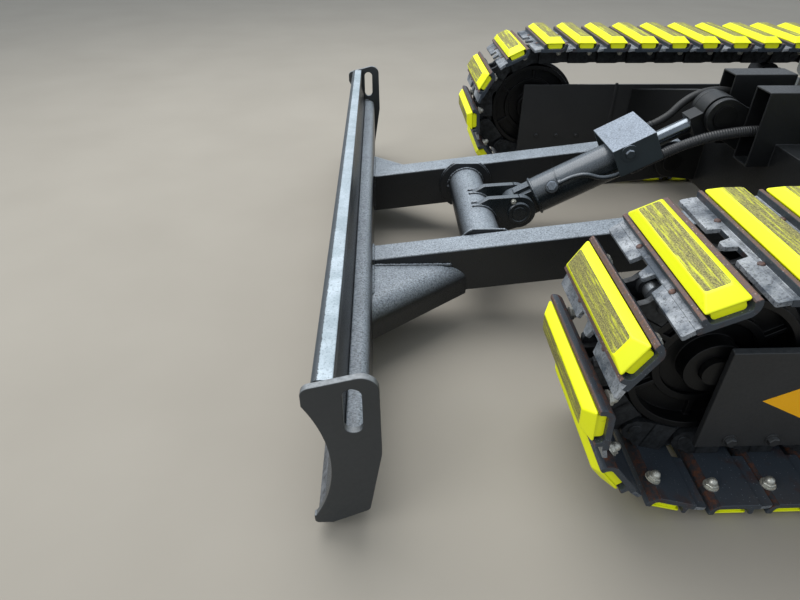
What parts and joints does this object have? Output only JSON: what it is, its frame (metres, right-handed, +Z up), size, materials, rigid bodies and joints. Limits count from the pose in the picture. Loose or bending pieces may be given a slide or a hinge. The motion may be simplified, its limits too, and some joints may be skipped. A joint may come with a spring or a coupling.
{
  "type": "mini excavator undercarriage with dozer blade",
  "caption": "Tracked undercarriage of a mini excavator: padded steel tracks, slew ring for the upper structure, and a dozer blade lifted by a hydraulic cylinder.",
  "frame": {"origin": "on the ground, under the middle of the whole length and width", "axes": "+X forward to the blade, +Y to the left of the machine, +Z up through the slew ring"},
  "size_m": [2.5512, 1.7, 0.558],
  "materials": {
    "track_steel": "worn rolled steel with bolted rubber pads",
    "frame_paint": "satin dark grey paint",
    "wheel_iron": "black painted casting",
    "motor_paint": "satin black paint",
    "pin_steel": "turned steel",
    "blade_paint": "sprayed slate grey paint, slightly grainy",
    "cylinder_chrome": "hard chrome rod",
    "pipe_steel": "zinc plated fittings and pipe",
    "hose_rubber": "black hydraulic hose in a spiral guard"
  },
  "bodies": {
    "root": {"track_left": "track_steel", "track_right": "track_steel", "side_frame_left": "frame_paint", "side_frame_right": "frame_paint", "idler_left": "wheel_iron", "idler_right": "wheel_iron", "idler_shaft_left": "wheel_iron", "idler_shaft_right": "wheel_iron", "bottom_rollers_left": "wheel_iron", "bottom_rollers_right": "wheel_iron", "top_roller_left": "wheel_iron", "top_roller_right": "wheel_iron", "sprocket_left": "wheel_iron", "sprocket_right": "wheel_iron", "travel_motor_left": "motor_paint", "travel_motor_right": "motor_paint", "centre_frame": "frame_paint", "arm_bracket": "frame_paint", "arm_pins": "pin_steel", "rod_pin": "pin_steel", "slew_ring_inner": "pin_steel", "swivel_joint": "motor_paint"},
    "slew": {"slew_ring_outer": "pin_steel"},
    "blade": {"end_plate_left": "blade_paint", "end_plate_right": "blade_paint", "push_arm_left": "blade_paint", "push_arm_right": "blade_paint", "gusset_left": "blade_paint", "gusset_right": "blade_paint", "mouldboard": "blade_paint", "cutting_edge": "blade_paint", "rear_beam": "blade_paint", "cross_tube": "blade_paint", "cylinder_clevis": "blade_paint", "clevis_pin": "pin_steel"},
    "barrel": {"cylinder_barrel": "blade_paint", "cylinder_guard": "blade_paint", "oil_pipe": "pipe_steel", "hose_couplers": "pipe_steel", "lift_hose_left": "hose_rubber", "lift_hose_right": "hose_rubber"},
    "rod": {"cylinder_rod": "cylinder_chrome"}
  },
  "joints": [
    {"name": "slew_turn", "type": "hinge", "parent": "root", "child": "slew", "pos_m": [-0.20844, 0, 0.496], "axis": [0, 0, 1], "continuous": true},
    {"name": "blade_lift", "type": "hinge", "parent": "root", "child": "blade", "pos_m": [0.29656, 0, 0.233], "axis": [0, -1, 0], "range_deg": [-20, 23]},
    {"name": "cylinder_swing", "type": "hinge", "parent": "blade", "child": "barrel", "pos_m": [0.79456, 0, 0.19], "axis": [0, -1, 0], "range_deg": [-3.2, 2.8]},
    {"name": "rod_slide", "type": "slide", "parent": "barrel", "child": "rod", "axis": [-0.8845, 0, 0.4665], "range_m": [-0.079, 0.069]}
  ],
  "couplings": [
    {"joint": "cylinder_swing", "follows": "blade_lift", "ratio": -0.1327},
    {"joint": "rod_slide", "follows": "blade_lift", "m_per_rad": -0.1943}
  ]
}
